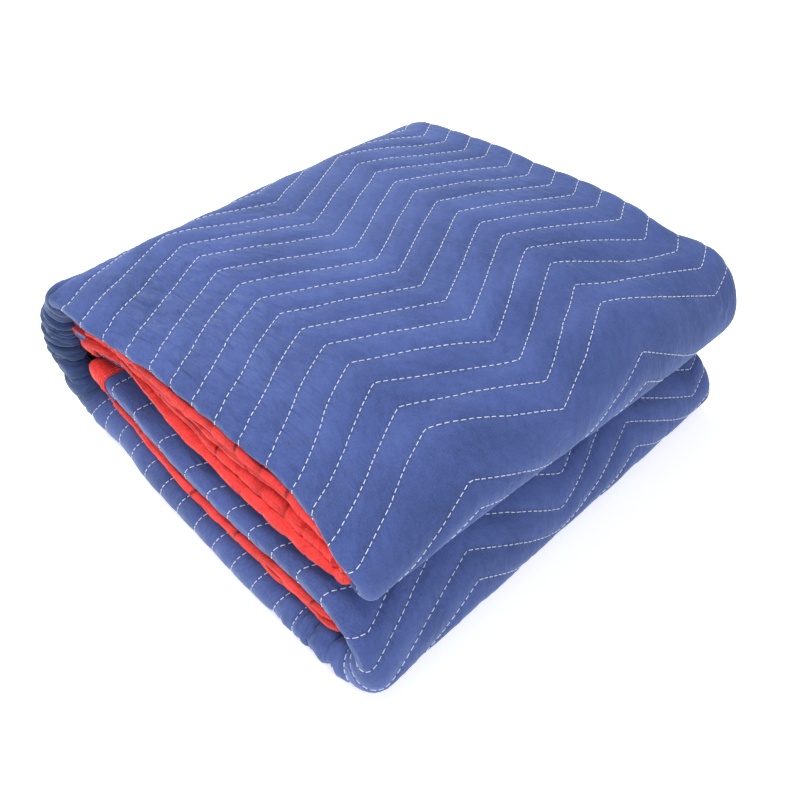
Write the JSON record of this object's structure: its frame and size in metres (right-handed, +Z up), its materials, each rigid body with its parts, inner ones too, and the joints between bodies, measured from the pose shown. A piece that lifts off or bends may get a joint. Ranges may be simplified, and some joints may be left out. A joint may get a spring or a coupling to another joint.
{
  "type": "folded moving blanket",
  "caption": "Quilted moving blanket with bound edges, folded into a square pile with its rounded folds at the front right and its bound edges showing at the side.",
  "frame": {"origin": "middle of the bounding box's underside, on the surface that the folded blanket lies on", "axes": "+Z up through the pile; +Y along the rounded last folds, away from the side with the bound edges; +X towards the open side of the last folds, with the two rounded noses"},
  "size_m": [0.5128, 0.5274, 0.2026],
  "materials": {
    "quilted_cloth": "matt royal blue woven polyester-cotton shell with a slight sheen, quilted in zigzag lines",
    "binding": "bright red woven tape, folded over the edge and stitched down",
    "thread": "off-white polyester sewing thread"
  },
  "bodies": {
    "root": {"panel": "quilted_cloth", "binding_side_a": "binding", "binding_side_b": "binding", "binding_end_a": "binding", "binding_end_b": "binding"}
  },
  "joints": []
}
